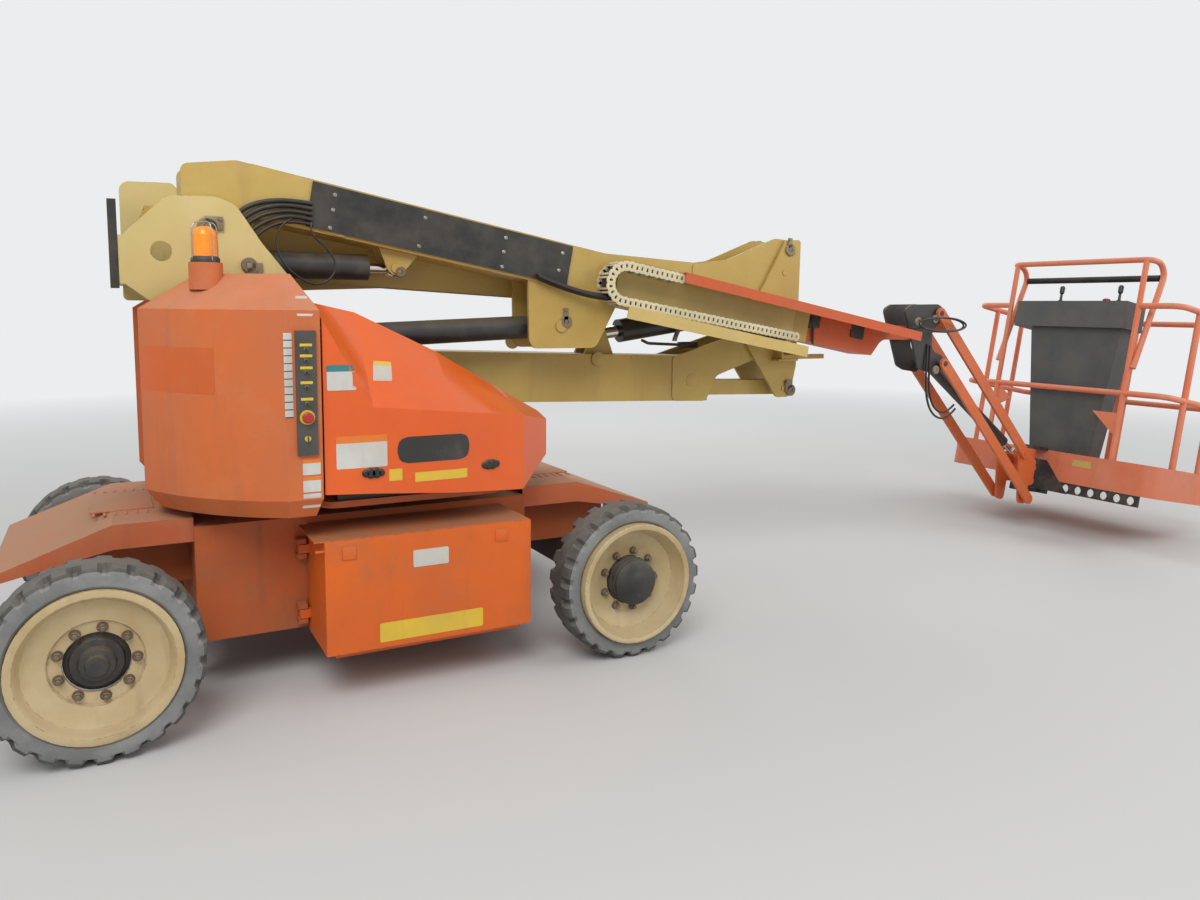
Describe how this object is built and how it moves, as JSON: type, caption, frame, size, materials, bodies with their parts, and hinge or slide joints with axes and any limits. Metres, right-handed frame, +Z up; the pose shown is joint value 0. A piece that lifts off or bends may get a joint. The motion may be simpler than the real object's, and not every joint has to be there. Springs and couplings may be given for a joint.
{
  "type": "articulating boom lift",
  "caption": "Four-wheeled articulating boom lift with a folding tower linkage, a telescoping main boom, a parallel-link jib and a railed work platform.",
  "frame": {"origin": "on the floor under the middle of the whole machine as it stands folded, wheels on the floor", "axes": "+X from the steered wheels towards the platform, +Y towards the tower boom side, +Z up"},
  "size_m": [6.9571, 1.802, 2.0451],
  "materials": {
    "orange": "satin, lightly scuffed",
    "faded_orange": "faded, chalky",
    "box_orange": "satin, dusty",
    "cream": "satin, worn",
    "wheel_beige": "satin, dusty",
    "dark_steel": "satin",
    "machinery_grey": "matt",
    "cast_orange": "painted, faded",
    "tyre_grey": "matt, worn",
    "chrome_rod": "polished",
    "black_plastic": "matt",
    "slate_plastic": "matt",
    "cream_plastic": "matt",
    "amber": "clear amber",
    "battery_case": "matt",
    "black_pad": "padded foam"
  },
  "bodies": {
    "chassis": {"chassis_frame": "orange", "steer_axle": "dark_steel", "drive_axle": "dark_steel", "axle_covers": "faded_orange", "slew_bearing": "dark_steel"},
    "knuckle_near": {"steer_knuckle_near": "dark_steel"},
    "knuckle_far": {"steer_knuckle_far": "dark_steel"},
    "wheel_steer_near": {"tyre_steer_near": "tyre_grey", "wheel_steer_near": "wheel_beige"},
    "wheel_steer_far": {"tyre_steer_far": "tyre_grey", "wheel_steer_far": "wheel_beige"},
    "wheel_drive_near": {"tyre_drive_near": "tyre_grey", "wheel_drive_near": "wheel_beige"},
    "wheel_drive_far": {"tyre_drive_far": "tyre_grey", "wheel_drive_far": "wheel_beige"},
    "tie_rod": {"tie_rod": "dark_steel"},
    "battery_near": {"battery_box_near": "box_orange", "battery_cells_near": "battery_case"},
    "battery_far": {"battery_box_far": "box_orange", "battery_cells_far": "battery_case"},
    "turntable": {"turntable_frame": "orange", "counterweight_near": "cast_orange", "counterweight_far": "cast_orange", "beacon": "amber", "control_panel": "black_plastic", "machinery": "machinery_grey"},
    "hood_near": {"hood_near": "orange"},
    "hood_far": {"hood_far": "orange"},
    "lower_boom": {"lower_boom": "cream"},
    "lower_link": {"lower_link": "cream"},
    "mid_upright": {"mid_upright": "cream"},
    "upper_boom": {"upper_boom": "cream"},
    "upper_link": {"upper_link": "cream"},
    "tower_barrel": {"tower_barrel": "dark_steel"},
    "tower_rod": {"tower_rod": "chrome_rod"},
    "top_upright": {"top_upright": "cream", "rear_pad": "dark_steel"},
    "main_boom": {"main_boom": "cream", "boom_cover": "black_plastic", "cable_tray": "cream", "cable_carrier": "cream_plastic"},
    "lift_barrel": {"lift_barrel": "dark_steel"},
    "lift_rod": {"lift_rod": "chrome_rod"},
    "level_barrel": {"level_barrel": "dark_steel"},
    "level_rod": {"level_rod": "chrome_rod"},
    "fly": {"fly_boom": "orange", "hose_channel": "orange"},
    "bracket": {"level_bracket": "dark_steel"},
    "jib_upper": {"jib_upper_link": "orange"},
    "jib_lower": {"jib_lower_link": "orange"},
    "jib_barrel": {"jib_barrel": "dark_steel"},
    "jib_rod": {"jib_rod": "chrome_rod"},
    "jib_end": {"jib_end": "orange"},
    "platform": {"platform_base": "orange", "platform_rails": "orange", "platform_mount": "dark_steel", "control_console": "slate_plastic", "guard_bar": "black_pad"},
    "gate": {"platform_gate": "orange"}
  },
  "joints": [
    {"name": "steer_near", "type": "hinge", "parent": "chassis", "child": "knuckle_near", "pos_m": [-3.14705, -0.59, 0.33], "axis": [0, 0, 1], "range_deg": [-35, 35]},
    {"name": "steer_far", "type": "hinge", "parent": "chassis", "child": "knuckle_far", "pos_m": [-3.14705, 0.59, 0.33], "axis": [0, 0, 1], "range_deg": [-35.5, 35.5]},
    {"name": "tie_rod_slide", "type": "slide", "parent": "chassis", "child": "tie_rod", "axis": [0, 1, 0], "range_m": [-0.07556, 0.07556]},
    {"name": "wheel_spin_steer_near", "type": "hinge", "parent": "knuckle_near", "child": "wheel_steer_near", "pos_m": [-3.14705, -0.786, 0.33], "axis": [0, 1, 0], "continuous": true},
    {"name": "wheel_spin_steer_far", "type": "hinge", "parent": "knuckle_far", "child": "wheel_steer_far", "pos_m": [-3.14705, 0.786, 0.33], "axis": [0, 1, 0], "continuous": true},
    {"name": "wheel_spin_drive_near", "type": "hinge", "parent": "chassis", "child": "wheel_drive_near", "pos_m": [-1.14705, -0.786, 0.33], "axis": [0, 1, 0], "continuous": true},
    {"name": "wheel_spin_drive_far", "type": "hinge", "parent": "chassis", "child": "wheel_drive_far", "pos_m": [-1.14705, 0.786, 0.33], "axis": [0, 1, 0], "continuous": true},
    {"name": "battery_box_near_hinge", "type": "hinge", "parent": "chassis", "child": "battery_near", "pos_m": [-2.43905, -0.486, 0.204], "axis": [0, 0, -1], "range_deg": [0, 60]},
    {"name": "battery_box_far_hinge", "type": "hinge", "parent": "chassis", "child": "battery_far", "pos_m": [-2.43905, 0.486, 0.204], "axis": [0, 0, 1], "range_deg": [0, 60]},
    {"name": "slew", "type": "hinge", "parent": "chassis", "child": "turntable", "pos_m": [-2.14705, 0, 0.66], "axis": [0, 0, 1], "range_deg": [-180, 180]},
    {"name": "hood_near_hinge", "type": "hinge", "parent": "turntable", "child": "hood_near", "pos_m": [-2.39705, -0.362, 1.456], "axis": [-0.9052, 0, 0.425], "range_deg": [0, 75]},
    {"name": "hood_far_hinge", "type": "hinge", "parent": "turntable", "child": "hood_far", "pos_m": [-2.39705, 0.362, 1.456], "axis": [0.9052, 0, -0.425], "range_deg": [0, 75]},
    {"name": "tower_lift", "type": "hinge", "parent": "turntable", "child": "lower_boom", "pos_m": [-2.78705, 0.14, 1.39], "axis": [0, -1, 0], "range_deg": [0, 65]},
    {"name": "lower_link_root", "type": "hinge", "parent": "turntable", "child": "lower_link", "pos_m": [-2.65205, 0.14, 1.124], "axis": [0, -1, 0], "range_deg": [-0.5, 65.5]},
    {"name": "mid_upright_level", "type": "hinge", "parent": "lower_boom", "child": "mid_upright", "pos_m": [0.23795, 0.14, 1.3], "axis": [0, -1, 0], "range_deg": [-65.5, 0.5]},
    {"name": "upper_boom_lift", "type": "hinge", "parent": "mid_upright", "child": "upper_boom", "pos_m": [0.41395, 0.14, 1.83], "axis": [0, 1, 0], "range_deg": [-0.5, 65.5]},
    {"name": "upper_link_root", "type": "hinge", "parent": "mid_upright", "child": "upper_link", "pos_m": [0.35395, 0.14, 1.7], "axis": [0, 1, 0], "range_deg": [-0.5, 65.5]},
    {"name": "top_upright_level", "type": "hinge", "parent": "upper_boom", "child": "top_upright", "pos_m": [-2.88005, 0.14, 1.685], "axis": [0, 1, 0], "range_deg": [-65.5, 0.5]},
    {"name": "tower_cylinder_pivot", "type": "hinge", "parent": "upper_boom", "child": "tower_barrel", "pos_m": [0.15295, 0.14, 1.484], "axis": [0, -1, 0], "range_deg": [-0.5, 138.63]},
    {"name": "tower_rod_stroke", "type": "slide", "parent": "tower_barrel", "child": "tower_rod", "axis": [-0.9899, 0, -0.1418], "range_m": [-0.001, 0.59674]},
    {"name": "main_lift", "type": "hinge", "parent": "top_upright", "child": "main_boom", "pos_m": [-2.71705, -0.12, 1.78], "axis": [0, -1, 0], "range_deg": [0, 85]},
    {"name": "lift_cylinder_pivot", "type": "hinge", "parent": "top_upright", "child": "lift_barrel", "pos_m": [-2.47705, -0.12, 1.34], "axis": [0, -1, 0], "range_deg": [-0.5, 79.83]},
    {"name": "lift_rod_stroke", "type": "slide", "parent": "lift_barrel", "child": "lift_rod", "axis": [0.9989, 0, 0.0464], "range_m": [-0.001, 0.65971]},
    {"name": "level_cylinder_pivot", "type": "hinge", "parent": "top_upright", "child": "level_barrel", "pos_m": [-2.57805, -0.12, 1.654], "axis": [0, -1, 0], "range_deg": [-0.5, 87.16]},
    {"name": "level_rod_stroke", "type": "slide", "parent": "level_barrel", "child": "level_rod", "axis": [1, 0, -0.0065], "range_m": [-0.001, 0.25361]},
    {"name": "telescope", "type": "slide", "parent": "main_boom", "child": "fly", "axis": [0.9839, 0, -0.1788], "range_m": [0, 1.05]},
    {"name": "bracket_level", "type": "hinge", "parent": "fly", "child": "bracket", "pos_m": [1.238, -0.12, 1.35], "axis": [0, -1, 0], "range_deg": [-85.5, 0.5]},
    {"name": "jib_lift", "type": "hinge", "parent": "bracket", "child": "jib_upper", "pos_m": [1.381, -0.12, 1.475], "axis": [0, -1, 0], "range_deg": [-13.4, 130.6]},
    {"name": "jib_lower_root", "type": "hinge", "parent": "bracket", "child": "jib_lower", "pos_m": [1.407, -0.12, 1.17], "axis": [0, -1, 0], "range_deg": [-13.9, 131.1]},
    {"name": "jib_end_level", "type": "hinge", "parent": "jib_upper", "child": "jib_end", "pos_m": [2.2536, -0.12, 0.55225], "axis": [0, -1, 0], "range_deg": [-131.1, 13.9]},
    {"name": "jib_cylinder_pivot", "type": "hinge", "parent": "bracket", "child": "jib_barrel", "pos_m": [1.407, -0.12, 1.17], "axis": [0, -1, 0], "range_deg": [-13.04, 122.72]},
    {"name": "jib_rod_stroke", "type": "slide", "parent": "jib_barrel", "child": "jib_rod", "axis": [0.8078, 0, -0.5894], "range_m": [-0.05473, 0.52465]},
    {"name": "platform_rotate", "type": "hinge", "parent": "jib_end", "child": "platform", "pos_m": [2.37528, -0.12, 0.3781], "axis": [0.1736, 0, 0.9848], "range_deg": [-90, 90]},
    {"name": "gate_hinge", "type": "hinge", "parent": "platform", "child": "gate", "pos_m": [3.2488, 0.341, 0.22407], "axis": [0.1736, 0, 0.9848], "range_deg": [0, 85]}
  ],
  "couplings": [
    {"joint": "steer_far", "follows": "steer_near", "ratio": 1},
    {"joint": "tie_rod_slide", "follows": "steer_near", "m_per_rad": 0.12206},
    {"joint": "lower_link_root", "follows": "tower_lift", "ratio": 1},
    {"joint": "mid_upright_level", "follows": "tower_lift", "ratio": -1},
    {"joint": "upper_boom_lift", "follows": "tower_lift", "ratio": 1},
    {"joint": "upper_link_root", "follows": "tower_lift", "ratio": 1},
    {"joint": "top_upright_level", "follows": "tower_lift", "ratio": -1},
    {"joint": "tower_cylinder_pivot", "follows": "tower_lift", "ratio": 2.1251},
    {"joint": "tower_rod_stroke", "follows": "tower_lift", "m_per_rad": 0.52513},
    {"joint": "lift_cylinder_pivot", "follows": "main_lift", "ratio": 0.93329},
    {"joint": "lift_rod_stroke", "follows": "main_lift", "m_per_rad": 0.44402},
    {"joint": "level_cylinder_pivot", "follows": "main_lift", "ratio": 1.0195},
    {"joint": "level_rod_stroke", "follows": "main_lift", "m_per_rad": 0.17028},
    {"joint": "bracket_level", "follows": "main_lift", "ratio": -1},
    {"joint": "jib_lower_root", "follows": "jib_lift", "ratio": 1},
    {"joint": "jib_end_level", "follows": "jib_lift", "ratio": -1},
    {"joint": "jib_cylinder_pivot", "follows": "jib_lift", "ratio": 0.93586},
    {"joint": "jib_rod_stroke", "follows": "jib_lift", "m_per_rad": 0.22973}
  ]
}
